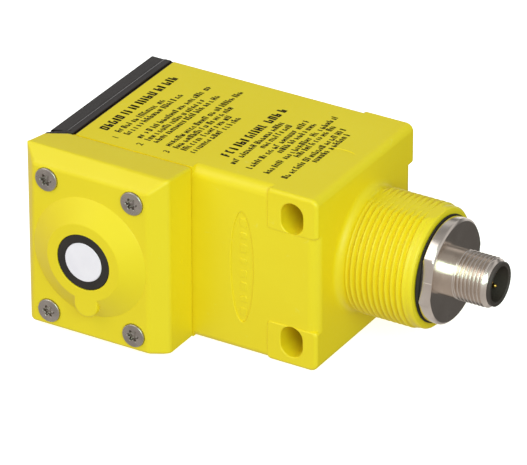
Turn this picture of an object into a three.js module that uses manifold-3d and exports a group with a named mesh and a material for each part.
// Block-style ultrasonic sensor: a hollow moulded housing with a threaded neck, a screwed-on
// transducer head, a smoked cover over the controls and a metal plug-in connector.
// Millimetres. Inside the "sensor" group, X runs along the neck axis towards the connector with
// zero at the housing's end face, -Y is the side the transducer looks out of, and +Z is up.

import * as THREE from 'three';
import { mergeVertices } from 'three/addons/utils/BufferGeometryUtils.js';
import Module from 'manifold-3d';

const wasm = await Module();
wasm.setup();

// ---- Driving dimensions ----------------------------------------------------------------------

// Housing block
const BODY_LENGTH = 64.7;
const HALF_WIDTH = 22.25;
const FRONT_Y = -22.7;
const BACK_Y = 21.35;
const WALL = 2.5;
const END_WALL = 3.5;
const EDGE_RADIUS = 2.8;
const BACK_EDGE_RADIUS = 1.2;
const END_RADIUS = 3.2;
const FIT_GAP = 0.3;
const HEAD_BOSS_LENGTH = 8;
const COVER_BOSS_LENGTH = 9;

// How far joined shapes run into each other, and how far a cut runs past what it cuts
const JOIN = 0.3;
const PAST = 1;

// Corner pads round the two mounting slots, at the neck end
const PAD_LENGTH = 13.3;
const PAD_INNER_Z = 12;
const PAD_RISE = 0.25;
const SLOT_X = -6.7;
const SLOT_Z = 16;
const SLOT_HALF_WIDTH = 2.9;
const SLOT_HALF_LENGTH = 3.9;

// Oval emblem recess on the front face
const EMBLEM_X = -20;
const EMBLEM_Z = -0.2;
const EMBLEM_HALF_WIDTH = 3.15;
const EMBLEM_HALF_LENGTH = 14.5;
const EMBLEM_DEPTH = 0.3;

// Threaded neck, M30 x 1.5, with flats at the mould's parting line
const NECK_LENGTH = 19.7;
const NECK_CREST_RADIUS = 15;
const NECK_ROOT_RADIUS = 14.1;
const NECK_RIM_RADIUS = 14.5;
const NECK_PITCH = 1.5;
const NECK_FIRST_CREST = 3.4;
const NECK_CRESTS = 10;
const NECK_FLAT_Z = 14.15;
const NECK_FILLET_RADIUS = 16.6;
const NECK_FILLET_LENGTH = 1.4;
const NECK_END_CHAMFER = 0.4;
const NECK_BORE_RADIUS = 9.6;
const NECK_SEGMENTS = 32;

// Transducer head
const HEAD_FRONT_Y = -36.8;
const HEAD_LEFT_X = -71.1;
const HEAD_RIGHT_X = -32.9;
const HEAD_CHAMFER = 3.7;
const HEAD_TOP_Z = 23.5;
const HEAD_FRONT_TOP_Z = 20.5;
const HEAD_FRONT_BOTTOM_Z = -20.9;
const HEAD_SHOULDER_BOTTOM_Z = -21.9;
const HEAD_FRONT_WALL = 3;
const SENSOR_X = -52.2;
const CONE_BASE_RADIUS = 15;
const CONE_TOP_RADIUS = 9.7;
const CONE_HEIGHT = 3;
const PROBE_X = -51.8;
const PROBE_Z = -11.1;
const PROBE_RADIUS = 3.1;
const PROBE_FRONT_WALL = 1;
const PROBE_BORE_RADIUS = 1.5;
const PROBE_SENSOR_RADIUS = 1.2;
const PROBE_SENSOR_LENGTH = 4.1;
const PROBE_DUCT_DEPTH = 2;
const PROBE_DUCT_HALF_WIDTH = 1;
const HEAD_POCKET_LEFT_X = -63.5;
const HEAD_POCKET_RIGHT_X = -37;
const HEAD_POCKET_BOTTOM_Z = -18.75;
const HEAD_RING_RADIUS = 14;
const HEAD_BOSS_RADIUS = 4;
const SEAL_OUTER_RADIUS = 12.3;
const SEAL_INNER_RADIUS = 10.7;
const SEAL_GROOVE_DEPTH = 1.3;
const SEAL_THICKNESS = 1.3;
const SEAL_RISE = 0.1;

// Head screws
const SCREW_SPACING_X = 11.5;
const SCREW_SPACING_Z = 17.2;
const SCREW_HEAD_RADIUS = 3;
const SCREW_HEAD_RISE = 0.5;
const SCREW_HEAD_HEIGHT = 2;
const SCREW_SHANK_RADIUS = 1.1;
const SCREW_BOSS_RADIUS = 2.6;
const SCREW_SOCKET_RADIUS = 1.5;
const SCREW_SOCKET_DEPTH = 1;
const HEAD_SCREW_LENGTH = 21;

// Transducer stack, each from its own front to its own back along +Y
const RING_RADIUS = 7;
const RING_GAP = 0.2;
const FACE_RADIUS = 4.95;
const FACE_LENGTH = 3.2;
const FACE_INSET = 0.1;
const PIEZO_RADIUS = 4.45;
const PIEZO_LENGTH = 2;
const BACKING_RADIUS = 6.8;
const RING_LENGTH = 9.7;
const CAN_RADIUS = 8.7;
const CAN_WALL = 1.1;
const CAN_FRONT_Y = -33.4;
const CAN_BACK_Y = -20.5;
const CAN_HOLE_RADIUS = 1.5;
const CAN_OPENING_GAP = 1;

// Smoked cover
const COVER_OUTER_X = -71.1;
const COVER_SEAT_X = -65.4;
const COVER_FLANGE_X = -66.6;
const COVER_BACK_Y = BACK_Y;
const COVER_FRONT_Y = -22.1;
const COVER_LIP_Y = -26.3;
const COVER_LIP_THICKNESS = 1.6;
const COVER_WALL = 1.9;
const COVER_HALF_WIDTH = 22.1;
const COVER_CAVITY_FRONT_Y = -20.9;
const COVER_CAVITY_BACK_Y = 18.1;
const COVER_CAVITY_HALF_WIDTH = 20;
const COVER_POST_RADIUS = 4;
const COVER_POST_HALF_WIDTH = 3.5;
const CAP_INSET = 0.25;
const CAP_FRONT_Y = -23.2;
const CAP_SEAT_FRONT_Y = -21.1;
const CAP_SEAT_GAP = 0.2;
const GASKET_X = -65.3;
const GASKET_HEIGHT = 0.45;
const GASKET_WIDTH = 1.1;
const GASKET_INSET = 0.3;
const COVER_SCREW_Y = -1;
const COVER_SCREW_Z = 17.2;
const COVER_SCREW_SINK = 0.1;
const COVER_SCREW_LENGTH = 13.5;
const COVER_SCREW_SLOT_HALF_WIDTH = 0.4;
const COVER_SCREW_SLOT_DEPTH = 0.8;

// Controls
const PANEL_TOP_X = -66.1;
const PANEL_BACK_X = -65;
const PANEL_FRONT_Y = -19.7;
const PANEL_STEP_Y = -11.5;
const PANEL_BACK_Y = 17.4;
const PANEL_NARROW_HALF_WIDTH = 14;
const PANEL_WIDE_HALF_WIDTH = 19.2;
const PANEL_SCREW_HOLE_RADIUS = 1.6;
const CONTROL_BOARD_X = -61;
const CONTROL_BOARD_FRONT_Y = -15.5;
const CONTROL_BOARD_BACK_Y = 11.3;
const CONTROL_BOARD_HALF_WIDTH = 14.4;
const BOARD_THICKNESS = 1.6;
const BUTTON_Y = -5.5;
const BUTTON_RADIUS = 2.6;
const BUTTON_RISE = 1.3;
const BUTTON_RIM_WIDTH = 0.7;
const BUTTON_RIM_THICKNESS = 0.6;
const TACT_HEIGHT = 1.9;
const TACT_HALF_SIZE = 3;
const TACT_BORE_DEPTH = 1.2;
const PLUNGER_RADIUS = 1.6;
const PLUNGER_RISE = 0.6;
const PLUNGER_LENGTH = 1;
const LAMP_Y = -13.4;
const LAMP_Z = 6;
const LAMP_RADIUS = 1.5;
const LAMP_RISE = 1.1;
const LAMP_FLANGE_RADIUS = 1.9;
const LAMP_FLANGE_HEIGHT = 0.8;
const SWITCH_Y = 5.5;
const SWITCH_HALF_WIDTH = 3.1;
const SWITCH_HALF_LENGTH = 5.85;
const SWITCH_SINK = 0.1;
const SWITCH_PITCH = 2.54;
const SWITCH_COUNT = 4;
const SLIDER_TRAVEL = 1.4;
const SLIDER_WIDTH = 1.5;
const SLIDER_HALF_THICKNESS = 0.55;
const SLIDER_RISE = 0.7;
const SLIDER_DEPTH = 0.8;
const GROOVE_DEPTH = 1;
const GROOVE_HALF_WIDTH = 0.8;
const GROOVE_END_GAP = 0.2;

// Boards and the parts on them
const MAIN_BOARD_Y = 13;
const MAIN_BOARD_LEFT_X = -58;
const MAIN_BOARD_RIGHT_X = -14;
const MAIN_BOARD_HALF_WIDTH = 18.5;
const HEADER_RIGHT_X = -55;
const HEADER_FRONT_Y = 8;
const HEADER_HALF_WIDTH = 6.5;
const CHIP_LEFT_X = -44;
const CHIP_SIZE = 7;
const CHIP_HEIGHT = 1.4;
const CORE_LEFT_X = -33;
const CORE_BOTTOM_Z = -11;
const CORE_SIZE = 10;
const CORE_HEIGHT = 9;
const CORE_NOTCH_DEPTH = 1.5;
const CORE_NOTCH_TOP = 6.5;
const CORE_NOTCH_BOTTOM = 2.5;
const CAPACITOR_X = -29;
const CAPACITOR_Z = 8;
const CAPACITOR_RADIUS = 4;
const CAPACITOR_LENGTH = 10;
const SIGNAL_BOARD_LEFT_X = -62;
const SIGNAL_BOARD_RIGHT_X = -43;
const SIGNAL_BOARD_HALF_WIDTH = 12;
const SIGNAL_BOARD_GAP = 0.7;
const RIBBON_HALF_WIDTH = 4;
const LEAD_PLUG_X = -17.7;
const LEAD_PLUG_HALF_WIDTH = 2.2;
const LEAD_PLUG_HALF_LENGTH = 4;
const LEAD_PLUG_HEIGHT = 3;
const LEAD_RADIUS = 1.5;

// Connector
const WASHER_RADIUS = 13.2;
const WASHER_BORE_RADIUS = 9.6;
const WASHER_THICKNESS = 0.4;
const WASHER_GAP = 0.15;
const FLANGE_BACK_X = 20.4;
const FLANGE_FRONT_X = 23.3;
const FLANGE_RADIUS = 12.6;
const FLANGE_FRONT_RADIUS = 12.05;
const FLANGE_CHAMFER = 0.6;
const FLAT_DISTANCE = 11.4;
const FLAT_ANGLE = 170;
const STEM_RADIUS = 9.2;
const STEM_BACK_X = 8;
const M12_RELIEF_RADIUS = 5.9;
const M12_CREST_RADIUS = 6;
const M12_ROOT_RADIUS = 5.45;
const M12_FIRST_CREST = 26.5;
const M12_PITCH = 1;
const M12_CRESTS = 7;
const M12_END_X = 34.1;
const M12_END_CHAMFER = 0.8;
const INSERT_RADIUS = 4.8;
const INSERT_LIP_RADIUS = 5.3;
const INSERT_END_X = 34.9;
const INSERT_BACK_X = 10;
const INSERT_GAP = 0.2;
const SOCKET_RADIUS = 4.3;
const SOCKET_FLOOR_X = 27;
const PIN_RADIUS = 0.5;
const PIN_CIRCLE_RADIUS = 2.65;
const PIN_COUNT = 4;
const PIN_TIP_X = 33.7;
const PIN_BACK_X = 9.4;
const PIN_TAPER = 0.4;

// ---- Solids ----------------------------------------------------------------------------------

function toSolid(geometry) {
  const bare = geometry.clone();
  bare.deleteAttribute('normal');
  bare.deleteAttribute('uv');
  const merged = mergeVertices(bare, 1e-4);
  return new wasm.Manifold(new wasm.Mesh({
    numProp: 3,
    vertProperties: new Float32Array(merged.attributes.position.array),
    triVerts: new Uint32Array(merged.index.array),
  }));
}

function toGeometry(solid) {
  const mesh = solid.getMesh();
  const geometry = new THREE.BufferGeometry();
  geometry.setAttribute('position', new THREE.BufferAttribute(mesh.vertProperties, 3));
  geometry.setIndex(new THREE.BufferAttribute(mesh.triVerts, 1));
  geometry.computeVertexNormals();
  return geometry;
}

// A rectangular block between two opposite corners
function block(low, high) {
  const size = high.map((value, axis) => value - low[axis]);
  const geometry = new THREE.BoxGeometry(...size);
  geometry.translate(...low.map((value, axis) => value + size[axis] / 2));
  return toSolid(geometry);
}

// An outline in X and Y, extruded along Z
function prismZ(shape, low, high, curveSegments = 8) {
  const depth = high - low;
  const geometry = new THREE.ExtrudeGeometry(shape, { depth, bevelEnabled: false, curveSegments });
  geometry.translate(0, 0, low);
  return toSolid(geometry);
}

// An outline in X and Z, extruded along Y
function prismY(shape, low, high, curveSegments = 8) {
  const depth = high - low;
  const geometry = new THREE.ExtrudeGeometry(shape, { depth, bevelEnabled: false, curveSegments });
  geometry.rotateX(Math.PI / 2);
  geometry.translate(0, high, 0);
  return toSolid(geometry);
}

// An outline in Y and Z, extruded along X
function prismX(shape, low, high, curveSegments = 8) {
  const depth = high - low;
  const geometry = new THREE.ExtrudeGeometry(shape, { depth, bevelEnabled: false, curveSegments });
  const toYZ = new THREE.Matrix4().makeBasis(
    new THREE.Vector3(0, 1, 0),
    new THREE.Vector3(0, 0, 1),
    new THREE.Vector3(1, 0, 0),
  );
  geometry.applyMatrix4(toYZ);
  geometry.translate(low, 0, 0);
  return toSolid(geometry);
}

// A profile of [radius, distance] points, from axis to axis, turned about the X axis
function turnedX(profile, segments = 32) {
  const points = profile.map(([radius, along]) => new THREE.Vector2(radius, along));
  const geometry = new THREE.LatheGeometry(points, segments);
  geometry.rotateZ(-Math.PI / 2);
  return toSolid(geometry);
}

// The same, turned about a line parallel to Y
function turnedY(profile, segments = 32) {
  const points = profile.map(([radius, along]) => new THREE.Vector2(radius, along));
  return toSolid(new THREE.LatheGeometry(points, segments));
}

function rodX(radius, low, high, segments = 24) {
  return turnedX([[0, low], [radius, low], [radius, high], [0, high]], segments);
}

function rodY(radius, low, high, segments = 24) {
  return turnedY([[0, low], [radius, low], [radius, high], [0, high]], segments);
}

function outline(points) {
  return new THREE.Shape(points.map(([first, second]) => new THREE.Vector2(first, second)));
}

// A rectangle with round corners, which can have another radius on its far side
function roundedOutline(low, high, radius, farRadius = radius) {
  const shape = new THREE.Shape();
  shape.moveTo(low[0] + radius, low[1]);
  shape.absarc(high[0] - farRadius, low[1] + farRadius, farRadius, -Math.PI / 2, 0);
  shape.absarc(high[0] - farRadius, high[1] - farRadius, farRadius, 0, Math.PI / 2);
  shape.absarc(low[0] + radius, high[1] - radius, radius, Math.PI / 2, Math.PI);
  shape.absarc(low[0] + radius, low[1] + radius, radius, Math.PI, Math.PI * 1.5);
  return shape;
}

// A slot with round ends, longer along the second axis
function slotOutline(halfWidth, halfLength) {
  const shape = new THREE.Shape();
  const reach = halfLength - halfWidth;
  shape.absarc(0, reach, halfWidth, 0, Math.PI);
  shape.absarc(0, -reach, halfWidth, Math.PI, Math.PI * 2);
  return shape;
}

// Crest and root points of a run of V-shaped thread ridges
function threadProfile(firstCrest, pitch, count, crestRadius, rootRadius) {
  const profile = [[rootRadius, firstCrest - pitch / 2]];
  for (let index = 0; index < count; index += 1) {
    profile.push([crestRadius, firstCrest + index * pitch]);
    profile.push([rootRadius, firstCrest + (index + 0.5) * pitch]);
  }
  return profile;
}

function joined(solids) {
  return solids.reduce((sum, solid) => sum.add(solid));
}

function cutFrom(base, tools) {
  return tools.reduce((rest, tool) => rest.subtract(tool), base);
}

function moved(solid, x, y, z) {
  return solid.translate([x, y, z]);
}

// The four places that lie at plus and minus two distances from a centre
function corners(centre, first, second) {
  return [[-1, 1], [1, 1], [-1, -1], [1, -1]].map(([u, v]) => [centre + u * first, v * second]);
}

// ---- Scene -----------------------------------------------------------------------------------

function material(color, roughness, metalness = 0) {
  return new THREE.MeshStandardMaterial({ color, roughness, metalness });
}

const yellowPlastic = material(0xe6d22d, 0.5);
const blackPlastic = material(0x1d1c1c, 0.5);
const blackRubber = material(0x2a2523, 0.85);
const smokedPlastic = material(0x413733, 0.15);
const steel = material(0x9c9288, 0.35, 1);
const nickel = material(0xb9b0a6, 0.2, 1);
const gold = material(0xd9b35a, 0.3, 1);
const whiteCeramic = material(0xe8e6ea, 0.6);
const boardGreen = material(0x1f5a38, 0.6);
const greenLamp = material(0x35c04a, 0.3);
const yellowLamp = material(0xf0c020, 0.3);
const foamGrey = material(0x6a6a6c, 0.9);
const copper = material(0xb0703a, 0.4, 1);

const sensor = new THREE.Group();

function addPiece(parent, name, shape, look, place = [0, 0, 0]) {
  const geometry = shape instanceof THREE.BufferGeometry ? shape : toGeometry(shape);
  const mesh = new THREE.Mesh(geometry, look);
  mesh.name = name;
  mesh.position.set(...place);
  parent.add(mesh);
  return mesh;
}

// ---- Housing ---------------------------------------------------------------------------------

const headScrewPlaces = corners(SENSOR_X + 0.1, SCREW_SPACING_X, SCREW_SPACING_Z);
const coverSlope = (COVER_LIP_Y - COVER_FRONT_Y) / (COVER_OUTER_X - COVER_SEAT_X);

// The sloping line where the cover's front end meets the housing and the head
function slopeX(y) {
  return COVER_SEAT_X + (y - COVER_FRONT_Y) / coverSlope;
}

function slopeY(x) {
  return COVER_FRONT_Y + (x - COVER_SEAT_X) * coverSlope;
}

function neck() {
  const ridges = threadProfile(
    NECK_FIRST_CREST, NECK_PITCH, NECK_CRESTS, NECK_CREST_RADIUS, NECK_ROOT_RADIUS,
  );
  const rimStart = NECK_FIRST_CREST + NECK_CRESTS * NECK_PITCH - NECK_PITCH / 4;
  const body = turnedX([
    [0, -END_WALL / 2],
    [NECK_FILLET_RADIUS, -END_WALL / 2],
    [NECK_FILLET_RADIUS, 0],
    [NECK_RIM_RADIUS, NECK_FILLET_LENGTH],
    ...ridges,
    [NECK_RIM_RADIUS, rimStart],
    [NECK_RIM_RADIUS, NECK_LENGTH - NECK_END_CHAMFER],
    [NECK_ROOT_RADIUS, NECK_LENGTH],
    [0, NECK_LENGTH],
  ], NECK_SEGMENTS);
  const top = block(
    [NECK_FILLET_LENGTH, -NECK_CREST_RADIUS, NECK_FLAT_Z],
    [NECK_LENGTH + PAST, NECK_CREST_RADIUS, NECK_CREST_RADIUS + PAST],
  );
  return cutFrom(body, [top, top.mirror([0, 0, 1])]);
}

function housing() {
  const inner = { front: FRONT_Y + WALL, back: BACK_Y - WALL, z: HALF_WIDTH - WALL };
  const section = roundedOutline(
    [FRONT_Y, -HALF_WIDTH], [BACK_Y, HALF_WIDTH], EDGE_RADIUS, BACK_EDGE_RADIUS,
  );
  const shell = prismX(section, -BODY_LENGTH, 0, 4);
  const behindHead = block(
    [-BODY_LENGTH, FRONT_Y, -HALF_WIDTH],
    [HEAD_RIGHT_X - FIT_GAP, 0, HALF_WIDTH],
  );
  const rimY = slopeY(-BODY_LENGTH) - FIT_GAP;
  const frontCorner = prismZ(outline([
    [-BODY_LENGTH + JOIN, FRONT_Y],
    [-BODY_LENGTH + JOIN, rimY],
    [-BODY_LENGTH, rimY],
    [slopeX(FRONT_Y + FIT_GAP), FRONT_Y],
  ]), -HALF_WIDTH, HALF_WIDTH);
  const pads = [1, -1].map((side) => {
    const ends = [side * PAD_INNER_Z, side * HALF_WIDTH].sort((a, b) => a - b);
    return block([-PAD_LENGTH, FRONT_Y - PAD_RISE, ends[0]], [0, BACK_Y + PAD_RISE, ends[1]]);
  });
  const cavity = block(
    [-BODY_LENGTH - PAST, inner.front, -inner.z],
    [-PAD_LENGTH, inner.back, inner.z],
  );
  const neckEnd = block(
    [-PAD_LENGTH - JOIN, inner.front, -NECK_BORE_RADIUS],
    [-END_WALL, inner.back, NECK_BORE_RADIUS],
  );
  const slots = [SLOT_Z, -SLOT_Z].map((z) => {
    const shape = slotOutline(SLOT_HALF_WIDTH, SLOT_HALF_LENGTH);
    const slot = prismY(shape, FRONT_Y - PAST, BACK_Y + PAST);
    return moved(slot, SLOT_X, 0, z);
  });
  const bore = rodX(NECK_BORE_RADIUS, -END_WALL - PAST, NECK_LENGTH + PAST, 32);
  const headOpening = moved(
    rodY(CAN_RADIUS + CAN_OPENING_GAP, FRONT_Y - PAST, inner.front + PAST, 32), SENSOR_X, 0, 0,
  );
  const oval = new THREE.Shape();
  oval.absellipse(0, 0, EMBLEM_HALF_WIDTH, EMBLEM_HALF_LENGTH, 0, Math.PI * 2);
  const emblem = moved(
    prismY(oval, FRONT_Y - PAST, FRONT_Y + EMBLEM_DEPTH, 12), EMBLEM_X, 0, EMBLEM_Z,
  );
  const roundEnd = roundedOutline(
    [-BODY_LENGTH - 2 * END_RADIUS, -HALF_WIDTH], [0, HALF_WIDTH], END_RADIUS,
  );
  const envelope = prismY(roundEnd, FRONT_Y - PAST, BACK_Y + PAST, 5);
  const blockShape = joined([shell, behindHead, frontCorner, ...pads]).intersect(envelope);
  const hollow = cutFrom(
    blockShape.add(neck()),
    [cavity, neckEnd, ...slots, headOpening, emblem],
  );
  const headBosses = headScrewPlaces.map(([x, z]) => (
    moved(rodY(SCREW_BOSS_RADIUS, inner.front - JOIN, inner.front + HEAD_BOSS_LENGTH), x, 0, z)
  ));
  const coverBossEnd = -BODY_LENGTH + COVER_BOSS_LENGTH;
  const coverBosses = [COVER_SCREW_Z, -COVER_SCREW_Z].map((z) => (
    moved(rodX(SCREW_BOSS_RADIUS, -BODY_LENGTH, coverBossEnd), 0, COVER_SCREW_Y, z)
  ));
  const pilotRadius = SCREW_SHANK_RADIUS + FIT_GAP;
  const headPilotEnd = inner.front + HEAD_BOSS_LENGTH + PAST;
  const headPilots = headScrewPlaces.map(([x, z]) => (
    moved(rodY(pilotRadius, FRONT_Y - PAST, headPilotEnd, 16), x, 0, z)
  ));
  const coverPilots = [COVER_SCREW_Z, -COVER_SCREW_Z].map((z) => (
    moved(rodX(pilotRadius, -BODY_LENGTH - PAST, coverBossEnd + PAST, 16), 0, COVER_SCREW_Y, z)
  ));
  return cutFrom(
    joined([hollow, ...headBosses, ...coverBosses]),
    [bore, ...headPilots, ...coverPilots],
  );
}

addPiece(sensor, 'housing', housing(), yellowPlastic);

// ---- Transducer head -------------------------------------------------------------------------

const HEAD_BACK_Y = FRONT_Y - FIT_GAP;

const head = new THREE.Group();
sensor.add(head);

function headBlock() {
  const plan = outline([
    [HEAD_LEFT_X + HEAD_CHAMFER, HEAD_FRONT_Y],
    [HEAD_RIGHT_X - HEAD_CHAMFER, HEAD_FRONT_Y],
    [HEAD_RIGHT_X, HEAD_FRONT_Y + HEAD_CHAMFER],
    [HEAD_RIGHT_X - FIT_GAP, HEAD_BACK_Y],
    [slopeX(HEAD_BACK_Y + FIT_GAP), HEAD_BACK_Y],
    [HEAD_LEFT_X, slopeY(HEAD_LEFT_X) - FIT_GAP],
    [HEAD_LEFT_X, HEAD_FRONT_Y + HEAD_CHAMFER],
  ]);
  const side = outline([
    [HEAD_FRONT_Y, HEAD_FRONT_BOTTOM_Z],
    [HEAD_FRONT_Y + HEAD_CHAMFER, HEAD_SHOULDER_BOTTOM_Z],
    [HEAD_BACK_Y, -HALF_WIDTH],
    [HEAD_BACK_Y, HALF_WIDTH],
    [HEAD_FRONT_Y + HEAD_CHAMFER, HEAD_TOP_Z],
    [HEAD_FRONT_Y, HEAD_FRONT_TOP_Z],
  ]);
  const full = prismZ(plan, -HALF_WIDTH - PAST, HEAD_TOP_Z + PAST);
  return full.intersect(prismX(side, HEAD_LEFT_X - PAST, HEAD_RIGHT_X + PAST));
}

function headPiece() {
  const coneTopY = HEAD_FRONT_Y - CONE_HEIGHT;
  const cone = moved(turnedY([
    [0, coneTopY],
    [CONE_TOP_RADIUS, coneTopY],
    [CONE_BASE_RADIUS, HEAD_FRONT_Y],
    [CONE_BASE_RADIUS, HEAD_FRONT_Y + JOIN],
    [0, HEAD_FRONT_Y + JOIN],
  ], 48), SENSOR_X, 0, 0);
  const probeBoss = moved(rodY(PROBE_RADIUS, coneTopY, HEAD_FRONT_Y + JOIN), PROBE_X, 0, PROBE_Z);
  const pocketFrontY = HEAD_FRONT_Y + HEAD_FRONT_WALL;
  const endY = HEAD_BACK_Y + PAST;
  const ringWall = moved(
    rodY(HEAD_RING_RADIUS, pocketFrontY - PAST, endY, 32), SENSOR_X, 0, 0,
  );
  const bosses = headScrewPlaces.map(([x, z]) => (
    moved(rodY(HEAD_BOSS_RADIUS, pocketFrontY - PAST, endY), x, 0, z)
  ));
  const pocket = cutFrom(
    block(
      [HEAD_POCKET_LEFT_X, pocketFrontY, HEAD_POCKET_BOTTOM_Z],
      [HEAD_POCKET_RIGHT_X, endY, HALF_WIDTH - WALL],
    ),
    [ringWall, ...bosses],
  );
  const throat = moved(
    rodY(RING_RADIUS + FIT_GAP, coneTopY - PAST, HEAD_BACK_Y, 32), SENSOR_X, 0, 0,
  );
  const canBore = moved(
    rodY(CAN_RADIUS + FIT_GAP, CAN_FRONT_Y - FIT_GAP, endY, 32), SENSOR_X, 0, 0,
  );
  const grooveY = HEAD_BACK_Y - SEAL_GROOVE_DEPTH;
  const sealGroove = moved(cutFrom(
    rodY(SEAL_OUTER_RADIUS + FIT_GAP, grooveY, endY, 32),
    [rodY(SEAL_INNER_RADIUS - FIT_GAP, grooveY - PAST, endY + PAST, 32)],
  ), SENSOR_X, 0, 0);
  const ductEndY = CAN_FRONT_Y + PROBE_DUCT_DEPTH;
  const probeBore = joined([
    moved(
      rodY(PROBE_BORE_RADIUS, coneTopY + PROBE_FRONT_WALL, ductEndY, 12), PROBE_X, 0, PROBE_Z,
    ),
    block(
      [PROBE_X - PROBE_DUCT_HALF_WIDTH, CAN_FRONT_Y, PROBE_Z],
      [PROBE_X + PROBE_DUCT_HALF_WIDTH, ductEndY, -CAN_RADIUS + PAST],
    ),
  ]);
  const headSeatY = HEAD_FRONT_Y - SCREW_HEAD_RISE + SCREW_HEAD_HEIGHT + FIT_GAP;
  const screwHoles = headScrewPlaces.map(([x, z]) => moved(joined([
    rodY(SCREW_SHANK_RADIUS + FIT_GAP, HEAD_FRONT_Y - PAST, endY, 16),
    rodY(SCREW_HEAD_RADIUS + FIT_GAP, HEAD_FRONT_Y - PAST, headSeatY),
  ]), x, 0, z));
  return cutFrom(
    joined([headBlock(), cone, probeBoss]),
    [pocket, throat, canBore, sealGroove, probeBore, ...screwHoles],
  );
}

addPiece(head, 'head', headPiece(), yellowPlastic);

const headSeal = cutFrom(
  rodY(SEAL_OUTER_RADIUS, 0, SEAL_THICKNESS, 32),
  [rodY(SEAL_INNER_RADIUS, -PAST, SEAL_THICKNESS + PAST, 32)],
);
const sealY = HEAD_BACK_Y - SEAL_GROOVE_DEPTH + SEAL_RISE;
addPiece(head, 'head_seal', headSeal, blackRubber, [SENSOR_X, sealY, 0]);

function headScrew() {
  const socket = rodY(SCREW_SOCKET_RADIUS, -PAST, SCREW_SOCKET_DEPTH, 6);
  return cutFrom(joined([
    rodY(SCREW_HEAD_RADIUS, 0, SCREW_HEAD_HEIGHT),
    rodY(SCREW_SHANK_RADIUS, SCREW_HEAD_HEIGHT - JOIN, HEAD_SCREW_LENGTH, 16),
  ]), [socket]);
}

headScrewPlaces.forEach(([x, z], index) => {
  const place = [x, HEAD_FRONT_Y - SCREW_HEAD_RISE, z];
  addPiece(head, `head_screw_${index + 1}`, headScrew(), steel, place);
});

// ---- Transducer ------------------------------------------------------------------------------

const transducer = new THREE.Group();
transducer.position.set(SENSOR_X, HEAD_FRONT_Y - CONE_HEIGHT + FACE_INSET, 0);
head.add(transducer);

const canFront = CAN_FRONT_Y - transducer.position.y;
const canBack = CAN_BACK_Y - transducer.position.y;

addPiece(transducer, 'transducer_face', rodY(FACE_RADIUS, 0, FACE_LENGTH, 32), whiteCeramic);
addPiece(
  transducer,
  'isolation_ring',
  cutFrom(
    rodY(RING_RADIUS, 0, RING_LENGTH, 32),
    [rodY(FACE_RADIUS + RING_GAP, -PAST, RING_LENGTH + PAST, 32)],
  ),
  blackRubber,
);
addPiece(
  transducer,
  'piezo_disc',
  rodY(PIEZO_RADIUS, 0, PIEZO_LENGTH),
  whiteCeramic,
  [0, FACE_LENGTH + FIT_GAP, 0],
);

const can = cutFrom(rodY(CAN_RADIUS, canFront, canBack, 32), [
  rodY(CAN_RADIUS - CAN_WALL, canFront - PAST, canBack - CAN_WALL, 32),
  rodY(CAN_HOLE_RADIUS, canBack - CAN_WALL - PAST, canBack + PAST, 12),
]);
addPiece(transducer, 'transducer_can', can, steel);
addPiece(
  transducer,
  'acoustic_backing',
  rodY(BACKING_RADIUS, RING_LENGTH + FIT_GAP, canBack - CAN_WALL - FIT_GAP),
  foamGrey,
);
const probeY = HEAD_FRONT_Y - CONE_HEIGHT + PROBE_FRONT_WALL + FIT_GAP;
addPiece(
  head,
  'temperature_sensor',
  rodY(PROBE_SENSOR_RADIUS, 0, PROBE_SENSOR_LENGTH, 12),
  blackPlastic,
  [PROBE_X, probeY, PROBE_Z],
);

// ---- Smoked cover ----------------------------------------------------------------------------

const cover = new THREE.Group();
sensor.add(cover);

// A rectangular loop that follows the housing's rim
function gasket() {
  const front = COVER_FRONT_Y + GASKET_INSET;
  const back = COVER_BACK_Y - GASKET_INSET;
  const reach = COVER_HALF_WIDTH - GASKET_INSET;
  return cutFrom(block([0, front, -reach], [GASKET_HEIGHT, back, reach]), [
    block(
      [-PAST, front + GASKET_WIDTH, -reach + GASKET_WIDTH],
      [GASKET_HEIGHT + PAST, back - GASKET_WIDTH, reach - GASKET_WIDTH],
    ),
  ]);
}

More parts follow.
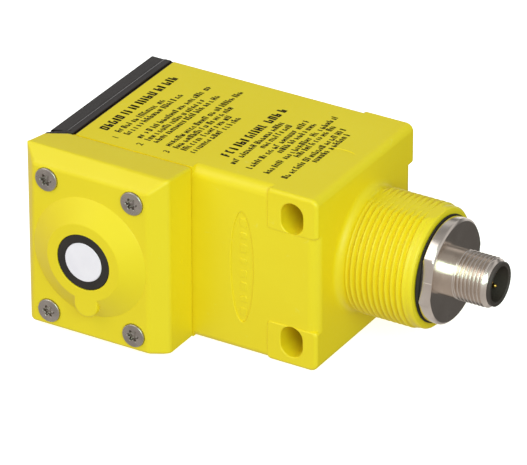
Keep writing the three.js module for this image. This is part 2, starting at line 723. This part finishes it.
function coverPiece() {
  const flange = prismZ(outline([
    [COVER_SEAT_X, COVER_BACK_Y],
    [COVER_FLANGE_X, COVER_BACK_Y],
    [COVER_FLANGE_X, slopeY(COVER_FLANGE_X) + COVER_LIP_THICKNESS],
    [COVER_OUTER_X, COVER_LIP_Y + COVER_LIP_THICKNESS],
    [COVER_OUTER_X, COVER_LIP_Y],
    [COVER_SEAT_X, COVER_FRONT_Y],
  ]), -COVER_HALF_WIDTH, COVER_HALF_WIDTH);
  const capHalfWidth = COVER_HALF_WIDTH - CAP_INSET;
  const cap = prismZ(outline([
    [COVER_SEAT_X - CAP_SEAT_GAP, COVER_BACK_Y],
    [COVER_OUTER_X, COVER_BACK_Y],
    [COVER_OUTER_X, CAP_FRONT_Y],
    [COVER_SEAT_X - CAP_SEAT_GAP, CAP_SEAT_FRONT_Y],
  ]), -capHalfWidth, capHalfWidth);
  const cavity = block(
    [COVER_OUTER_X + COVER_WALL, COVER_CAVITY_FRONT_Y, -COVER_CAVITY_HALF_WIDTH],
    [COVER_SEAT_X + PAST, COVER_CAVITY_BACK_Y, COVER_CAVITY_HALF_WIDTH],
  );
  const postBounds = block(
    [COVER_OUTER_X, -COVER_POST_RADIUS - PAST, -COVER_POST_HALF_WIDTH],
    [COVER_SEAT_X, COVER_POST_RADIUS + PAST, COVER_POST_HALF_WIDTH],
  );
  const postStart = COVER_OUTER_X + COVER_WALL - JOIN;
  const posts = [COVER_SCREW_Z, -COVER_SCREW_Z].map((z) => moved(
    rodX(COVER_POST_RADIUS, postStart, PANEL_TOP_X - FIT_GAP).intersect(postBounds),
    0, COVER_SCREW_Y, z,
  ));
  const screwSeatX = COVER_OUTER_X + COVER_SCREW_SINK + SCREW_HEAD_HEIGHT + FIT_GAP;
  const screwHoles = [COVER_SCREW_Z, -COVER_SCREW_Z].map((z) => moved(joined([
    rodX(SCREW_SHANK_RADIUS + FIT_GAP, COVER_OUTER_X - PAST, COVER_SEAT_X + PAST, 16),
    rodX(SCREW_HEAD_RADIUS + FIT_GAP, COVER_OUTER_X - PAST, screwSeatX),
  ]), 0, COVER_SCREW_Y, z));
  return cutFrom(joined([flange, cap]).subtract(cavity).add(joined(posts)), screwHoles);
}

function coverScrew() {
  const slot = block(
    [-PAST, -SCREW_HEAD_RADIUS - PAST, -COVER_SCREW_SLOT_HALF_WIDTH],
    [COVER_SCREW_SLOT_DEPTH, SCREW_HEAD_RADIUS + PAST, COVER_SCREW_SLOT_HALF_WIDTH],
  );
  return cutFrom(joined([
    rodX(SCREW_HEAD_RADIUS, 0, SCREW_HEAD_HEIGHT),
    rodX(SCREW_SHANK_RADIUS, SCREW_HEAD_HEIGHT - JOIN, COVER_SCREW_LENGTH, 16),
  ]), [slot]);
}

addPiece(cover, 'top_cover', coverPiece(), smokedPlastic);
addPiece(cover, 'cover_gasket', gasket(), blackRubber, [GASKET_X, 0, 0]);
[COVER_SCREW_Z, -COVER_SCREW_Z].forEach((z, index) => {
  const place = [COVER_OUTER_X + COVER_SCREW_SINK, COVER_SCREW_Y, z];
  addPiece(cover, `cover_screw_${index + 1}`, coverScrew(), steel, place);
});

// ---- Controls under the cover ----------------------------------------------------------------

const controls = new THREE.Group();
sensor.add(controls);

const lampPlaces = [['led_green', LAMP_Z, greenLamp], ['led_yellow', -LAMP_Z, yellowLamp]];
const switchSize = [SWITCH_HALF_WIDTH, SWITCH_HALF_LENGTH];

function controlPanel() {
  const plate = prismX(outline([
    [PANEL_FRONT_Y, -PANEL_NARROW_HALF_WIDTH],
    [PANEL_STEP_Y, -PANEL_NARROW_HALF_WIDTH],
    [PANEL_STEP_Y, -PANEL_WIDE_HALF_WIDTH],
    [PANEL_BACK_Y, -PANEL_WIDE_HALF_WIDTH],
    [PANEL_BACK_Y, PANEL_WIDE_HALF_WIDTH],
    [PANEL_STEP_Y, PANEL_WIDE_HALF_WIDTH],
    [PANEL_STEP_Y, PANEL_NARROW_HALF_WIDTH],
    [PANEL_FRONT_Y, PANEL_NARROW_HALF_WIDTH],
  ]), PANEL_TOP_X, PANEL_BACK_X);
  const hole = (radius, y, z) => (
    moved(rodX(radius, PANEL_TOP_X - PAST, PANEL_BACK_X + PAST, 16), 0, y, z)
  );
  const [halfWidth, halfLength] = switchSize.map((half) => half + FIT_GAP);
  const window = block(
    [PANEL_TOP_X - PAST, SWITCH_Y - halfWidth, -halfLength],
    [PANEL_BACK_X + PAST, SWITCH_Y + halfWidth, halfLength],
  );
  return cutFrom(plate, [
    window,
    hole(BUTTON_RADIUS + FIT_GAP, BUTTON_Y, 0),
    ...lampPlaces.map(([, z]) => hole(LAMP_RADIUS + FIT_GAP, LAMP_Y, z)),
    ...[COVER_SCREW_Z, -COVER_SCREW_Z].map((z) => hole(PANEL_SCREW_HOLE_RADIUS, COVER_SCREW_Y, z)),
  ]);
}

addPiece(controls, 'control_panel', controlPanel(), blackPlastic);
addPiece(
  controls,
  'control_board',
  block(
    [0, CONTROL_BOARD_FRONT_Y, -CONTROL_BOARD_HALF_WIDTH],
    [BOARD_THICKNESS, CONTROL_BOARD_BACK_Y, CONTROL_BOARD_HALF_WIDTH],
  ),
  boardGreen,
  [CONTROL_BOARD_X, 0, 0],
);

// Distances of the control parts above the control board, towards -X
const PART_BASE_X = CONTROL_BOARD_X - FIT_GAP;
const TACT_TOP_X = PART_BASE_X - TACT_HEIGHT;
const PLUNGER_TOP_X = TACT_TOP_X - PLUNGER_RISE;
const BUTTON_FOOT_X = PLUNGER_TOP_X - FIT_GAP;
const BUTTON_TOP_X = PANEL_TOP_X - BUTTON_RISE;

const button = joined([
  rodX(BUTTON_RADIUS, BUTTON_TOP_X, BUTTON_FOOT_X),
  rodX(BUTTON_RADIUS + BUTTON_RIM_WIDTH, BUTTON_FOOT_X - BUTTON_RIM_THICKNESS, BUTTON_FOOT_X),
]);
addPiece(controls, 'limits_button', button, blackPlastic, [0, BUTTON_Y, 0]);

const plunger = rodX(PLUNGER_RADIUS, PLUNGER_TOP_X, PLUNGER_TOP_X + PLUNGER_LENGTH, 16);
addPiece(controls, 'tact_plunger', plunger, blackPlastic, [0, BUTTON_Y, 0]);

const tactBody = cutFrom(
  block(
    [TACT_TOP_X, -TACT_HALF_SIZE, -TACT_HALF_SIZE],
    [PART_BASE_X, TACT_HALF_SIZE, TACT_HALF_SIZE],
  ),
  [rodX(PLUNGER_RADIUS + FIT_GAP, TACT_TOP_X - PAST, TACT_TOP_X + TACT_BORE_DEPTH, 16)],
);
addPiece(controls, 'tact_switch', tactBody, steel, [0, BUTTON_Y, 0]);

// Slide switch block: one groove for each slider
const SWITCH_TOP_X = PANEL_TOP_X + SWITCH_SINK;
const sliderPlaces = Array.from({ length: SWITCH_COUNT }, (_, index) => (
  (index - (SWITCH_COUNT - 1) / 2) * SWITCH_PITCH
));

const switchBody = cutFrom(
  block([SWITCH_TOP_X, -SWITCH_HALF_WIDTH, -SWITCH_HALF_LENGTH],
    [PART_BASE_X, SWITCH_HALF_WIDTH, SWITCH_HALF_LENGTH]),
  sliderPlaces.map((z) => {
    const reach = (SLIDER_TRAVEL + SLIDER_WIDTH) / 2 + GROOVE_END_GAP;
    return block(
      [SWITCH_TOP_X - PAST, -reach, z - GROOVE_HALF_WIDTH],
      [SWITCH_TOP_X + GROOVE_DEPTH, reach, z + GROOVE_HALF_WIDTH],
    );
  }),
);
addPiece(controls, 'dip_switch_body', switchBody, smokedPlastic, [0, SWITCH_Y, 0]);

sliderPlaces.forEach((z, index) => {
  const slider = block(
    [-SLIDER_RISE, -SLIDER_WIDTH / 2, -SLIDER_HALF_THICKNESS],
    [SLIDER_DEPTH, SLIDER_WIDTH / 2, SLIDER_HALF_THICKNESS],
  );
  const place = [SWITCH_TOP_X, SWITCH_Y - SLIDER_TRAVEL / 2, z];
  addPiece(controls, `dip_slider_${index + 1}`, slider, whiteCeramic, place);
});

lampPlaces.forEach(([name, z, look]) => {
  const domeX = PANEL_TOP_X - LAMP_RISE;
  const lamp = turnedX([
    [0, domeX],
    [LAMP_RADIUS * 0.6, domeX + LAMP_RISE * 0.25],
    [LAMP_RADIUS, PANEL_TOP_X],
    [LAMP_RADIUS, PART_BASE_X - LAMP_FLANGE_HEIGHT],
    [LAMP_FLANGE_RADIUS, PART_BASE_X - LAMP_FLANGE_HEIGHT],
    [LAMP_FLANGE_RADIUS, PART_BASE_X],
    [0, PART_BASE_X],
  ], 16);
  addPiece(controls, name, lamp, look, [0, LAMP_Y, z]);
});

// ---- Electronics -----------------------------------------------------------------------------

const electronics = new THREE.Group();
sensor.add(electronics);

const CONTROL_BOARD_BACK_X = CONTROL_BOARD_X + BOARD_THICKNESS;
const COMPONENT_BACK_Y = MAIN_BOARD_Y - FIT_GAP;
const SIGNAL_BOARD_Y = CAN_BACK_Y + SIGNAL_BOARD_GAP;

addPiece(
  electronics,
  'main_board',
  block(
    [MAIN_BOARD_LEFT_X, 0, -MAIN_BOARD_HALF_WIDTH],
    [MAIN_BOARD_RIGHT_X, BOARD_THICKNESS, MAIN_BOARD_HALF_WIDTH],
  ),
  boardGreen,
  [0, MAIN_BOARD_Y, 0],
);
addPiece(
  electronics,
  'board_header',
  block(
    [CONTROL_BOARD_BACK_X + FIT_GAP, HEADER_FRONT_Y, -HEADER_HALF_WIDTH],
    [HEADER_RIGHT_X, COMPONENT_BACK_Y, HEADER_HALF_WIDTH],
  ),
  blackPlastic,
);
addPiece(
  electronics,
  'microcontroller',
  block(
    [CHIP_LEFT_X, COMPONENT_BACK_Y - CHIP_HEIGHT, -CHIP_SIZE / 2],
    [CHIP_LEFT_X + CHIP_SIZE, COMPONENT_BACK_Y, CHIP_SIZE / 2],
  ),
  blackPlastic,
);

function transformer() {
  const rightX = CORE_LEFT_X + CORE_SIZE;
  const topZ = CORE_BOTTOM_Z + CORE_SIZE;
  const core = block(
    [CORE_LEFT_X, COMPONENT_BACK_Y - CORE_HEIGHT, CORE_BOTTOM_Z],
    [rightX, COMPONENT_BACK_Y, topZ],
  );
  const notches = [
    [CORE_LEFT_X - PAST, CORE_LEFT_X + CORE_NOTCH_DEPTH],
    [rightX - CORE_NOTCH_DEPTH, rightX + PAST],
  ].map(([low, high]) => block(
    [low, COMPONENT_BACK_Y - CORE_NOTCH_TOP, CORE_BOTTOM_Z - PAST],
    [high, COMPONENT_BACK_Y - CORE_NOTCH_BOTTOM, topZ + PAST],
  ));
  return cutFrom(core, notches);
}

addPiece(electronics, 'pulse_transformer', transformer(), copper);
addPiece(
  electronics,
  'smoothing_capacitor',
  rodY(CAPACITOR_RADIUS, COMPONENT_BACK_Y - CAPACITOR_LENGTH, COMPONENT_BACK_Y),
  steel,
  [CAPACITOR_X, 0, CAPACITOR_Z],
);
addPiece(
  electronics,
  'transducer_board',
  block(
    [SIGNAL_BOARD_LEFT_X, 0, -SIGNAL_BOARD_HALF_WIDTH],
    [SIGNAL_BOARD_RIGHT_X, BOARD_THICKNESS, SIGNAL_BOARD_HALF_WIDTH],
  ),
  boardGreen,
  [0, SIGNAL_BOARD_Y, 0],
);

// A flat ribbon that bows between the transducer board and the main board
function ribbon() {
  const startY = SIGNAL_BOARD_Y + BOARD_THICKNESS + FIT_GAP;
  const shape = new THREE.Shape();
  shape.moveTo(-47.2, startY);
  shape.quadraticCurveTo(-55.2, -3, -50.2, COMPONENT_BACK_Y);
  shape.lineTo(-49.8, COMPONENT_BACK_Y);
  shape.quadraticCurveTo(-54.6, -3, -46.8, startY);
  return prismZ(shape, -RIBBON_HALF_WIDTH, RIBBON_HALF_WIDTH, 10);
}

addPiece(electronics, 'transducer_ribbon', ribbon(), foamGrey);

const leadPlug = block(
  [-LEAD_PLUG_HALF_WIDTH, COMPONENT_BACK_Y - LEAD_PLUG_HEIGHT, -LEAD_PLUG_HALF_LENGTH],
  [LEAD_PLUG_HALF_WIDTH, COMPONENT_BACK_Y, LEAD_PLUG_HALF_LENGTH],
);
addPiece(electronics, 'lead_plug', leadPlug, whiteCeramic, [LEAD_PLUG_X, 0, 0]);

// The bundle of wires from the connector to its plug
function leads() {
  const endY = COMPONENT_BACK_Y - LEAD_PLUG_HEIGHT - FIT_GAP;
  const route = new THREE.CatmullRomCurve3([
    new THREE.Vector3(PIN_BACK_X - 0.4, 0, 0),
    new THREE.Vector3(5, 0, 0),
    new THREE.Vector3(-4, 0.5, 0),
    new THREE.Vector3(-12, 2.5, 0),
    new THREE.Vector3(LEAD_PLUG_X + 0.3, endY - 3, 0),
    new THREE.Vector3(LEAD_PLUG_X, endY, 0),
  ]);
  const section = new THREE.Shape();
  section.absarc(0, 0, LEAD_RADIUS, 0, Math.PI * 2);
  return toSolid(new THREE.ExtrudeGeometry(section, {
    steps: 14,
    curveSegments: 8,
    extrudePath: route,
  }));
}

addPiece(electronics, 'connector_leads', leads(), foamGrey);

// ---- Connector -------------------------------------------------------------------------------

const connector = new THREE.Group();
sensor.add(connector);

const washer = cutFrom(
  rodX(WASHER_RADIUS, 0, WASHER_THICKNESS, 40),
  [rodX(WASHER_BORE_RADIUS, -PAST, WASHER_THICKNESS + PAST, 40)],
);
addPiece(connector, 'sealing_washer', washer, blackRubber, [NECK_LENGTH + WASHER_GAP, 0, 0]);

// A round flange with two opposite flats for a spanner
function flange() {
  const disc = turnedX([
    [0, FLANGE_BACK_X],
    [FLANGE_RADIUS, FLANGE_BACK_X],
    [FLANGE_RADIUS, FLANGE_FRONT_X - FLANGE_CHAMFER],
    [FLANGE_FRONT_RADIUS, FLANGE_FRONT_X],
    [0, FLANGE_FRONT_X],
  ], 48);
  const between = block(
    [FLANGE_BACK_X - PAST, -FLAT_DISTANCE, -FLANGE_RADIUS - PAST],
    [FLANGE_FRONT_X + PAST, FLAT_DISTANCE, FLANGE_RADIUS + PAST],
  );
  return disc.intersect(between.rotate([FLAT_ANGLE, 0, 0]));
}

function connectorShell() {
  const tube = turnedX([
    [0, STEM_BACK_X],
    [STEM_RADIUS, STEM_BACK_X],
    [STEM_RADIUS, FLANGE_BACK_X + JOIN],
    [M12_RELIEF_RADIUS, FLANGE_BACK_X + JOIN],
    [M12_RELIEF_RADIUS, M12_FIRST_CREST - M12_PITCH],
    ...threadProfile(
      M12_FIRST_CREST, M12_PITCH, M12_CRESTS, M12_CREST_RADIUS, M12_ROOT_RADIUS,
    ),
    [M12_CREST_RADIUS, M12_END_X - M12_END_CHAMFER],
    [M12_ROOT_RADIUS, M12_END_X],
    [0, M12_END_X],
  ]);
  return joined([tube, flange()]).subtract(
    rodX(INSERT_RADIUS + INSERT_GAP, STEM_BACK_X - PAST, M12_END_X + PAST, 32),
  );
}

addPiece(connector, 'connector_shell', connectorShell(), nickel);

const pinPlaces = Array.from({ length: PIN_COUNT }, (_, index) => {
  const angle = Math.PI / 4 + (index * Math.PI * 2) / PIN_COUNT;
  return [PIN_CIRCLE_RADIUS * Math.cos(angle), PIN_CIRCLE_RADIUS * Math.sin(angle)];
});
pinPlaces.push([0, 0]);

const insert = cutFrom(turnedX([
  [0, INSERT_BACK_X],
  [INSERT_RADIUS, INSERT_BACK_X],
  [INSERT_RADIUS, M12_END_X + INSERT_GAP],
  [INSERT_LIP_RADIUS, M12_END_X + INSERT_GAP],
  [INSERT_LIP_RADIUS, INSERT_END_X],
  [SOCKET_RADIUS, INSERT_END_X],
  [SOCKET_RADIUS, SOCKET_FLOOR_X],
  [0, SOCKET_FLOOR_X],
]), pinPlaces.map(([y, z]) => moved(
  rodX(PIN_RADIUS + FIT_GAP, INSERT_BACK_X - PAST, SOCKET_FLOOR_X + PAST, 12), 0, y, z,
)));
addPiece(connector, 'connector_insert', insert, blackPlastic);

pinPlaces.forEach(([y, z], index) => {
  const pin = turnedX([
    [0, PIN_BACK_X],
    [PIN_RADIUS, PIN_BACK_X],
    [PIN_RADIUS, PIN_TIP_X - PIN_TAPER],
    [PIN_RADIUS * 0.5, PIN_TIP_X],
    [0, PIN_TIP_X],
  ], 12);
  addPiece(connector, `contact_pin_${index + 1}`, pin, gold, [0, y, z]);
});

// ---- Frame -----------------------------------------------------------------------------------

// The origin is at the middle of the underside, on the side that the sensor lies on
sensor.position.set(
  -(HEAD_LEFT_X + INSERT_END_X) / 2,
  -(HEAD_FRONT_Y - CONE_HEIGHT + BACK_Y + PAD_RISE) / 2,
  HALF_WIDTH,
);

const assembly = new THREE.Group();
assembly.add(sensor);

export default assembly;
